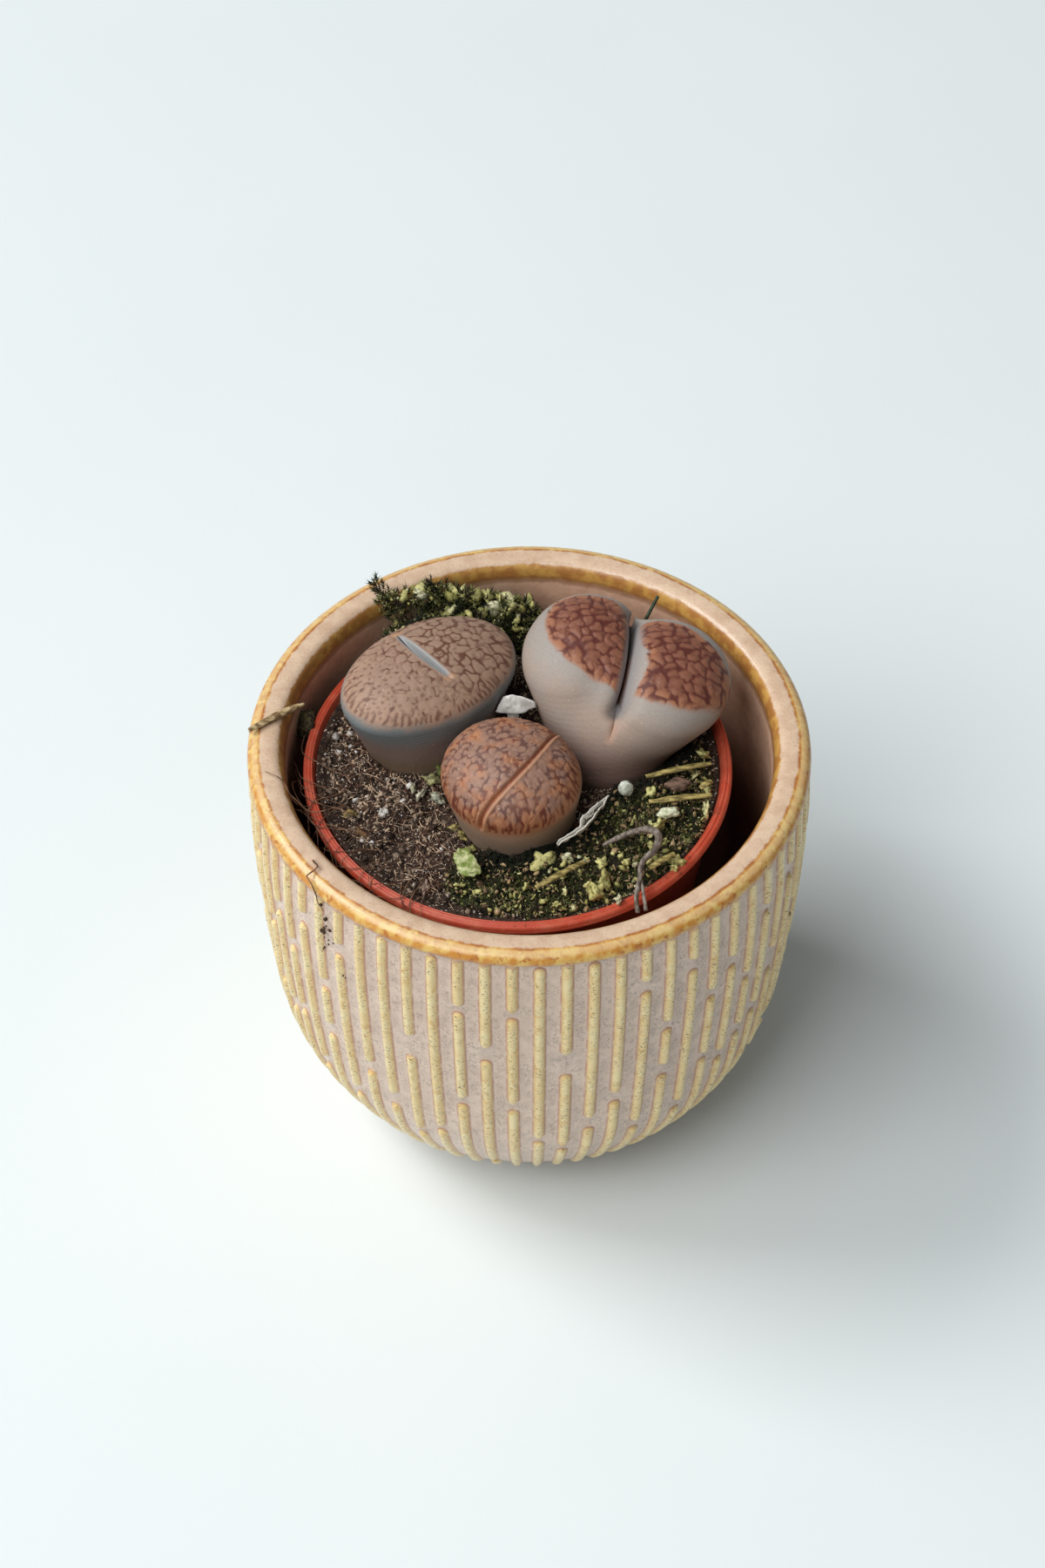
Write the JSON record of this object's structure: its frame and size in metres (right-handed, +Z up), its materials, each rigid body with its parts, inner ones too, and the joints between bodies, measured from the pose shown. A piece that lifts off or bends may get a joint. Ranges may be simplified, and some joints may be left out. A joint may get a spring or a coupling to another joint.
{
  "type": "potted lithops",
  "caption": "Lithops stone plants with split domes in a plastic nursery pot of mossy soil, standing in a round ribbed and glazed stoneware pot.",
  "frame": {"origin": "middle of the stoneware pot's base, on the surface that it stands on", "axes": "+Z up along the pot's axis, -Y towards the front of the picture, +X to its right"},
  "size_m": [0.0728, 0.0726, 0.0702],
  "materials": {
    "stoneware": "glossy reactive glaze, yellow ribs on a pink-beige ground",
    "nursery_plastic": "satin terracotta-red moulded plastic",
    "soil": "rough dry peat with pale grit",
    "lithops_grey": "satin waxy skin with a fine brown net",
    "lithops_rust": "satin waxy skin, rust-brown islands in a dark red net",
    "lithops_orange": "satin waxy skin, orange-brown with a mottled middle",
    "moss": "matte leafy moss with pale yellow-green granules",
    "husk": "matte papery white",
    "dry_leaf": "matte papery grey-brown",
    "straw": "matte dry straw",
    "green_stem": "satin dark green",
    "perlite": "matte porous white",
    "bark": "matte rough bark",
    "flake": "matte yellow-green"
  },
  "bodies": {
    "root": {"outer_pot": "stoneware", "nursery_pot": "nursery_plastic", "soil": "soil", "lithops_left": "lithops_grey", "lithops_right": "lithops_rust", "lithops_small": "lithops_orange", "moss_front": "moss", "moss_back": "moss", "husk": "husk", "dry_leaf": "dry_leaf", "stalk_hooked": "straw", "green_stem": "green_stem", "straw_1": "straw", "straw_2": "straw", "straw_3": "straw", "straw_4": "straw", "straw_5": "straw", "straw_on_rim": "straw", "perlite_ball": "perlite", "white_chunk": "perlite", "bark_crumb": "bark", "large_flake": "flake"}
  },
  "joints": []
}
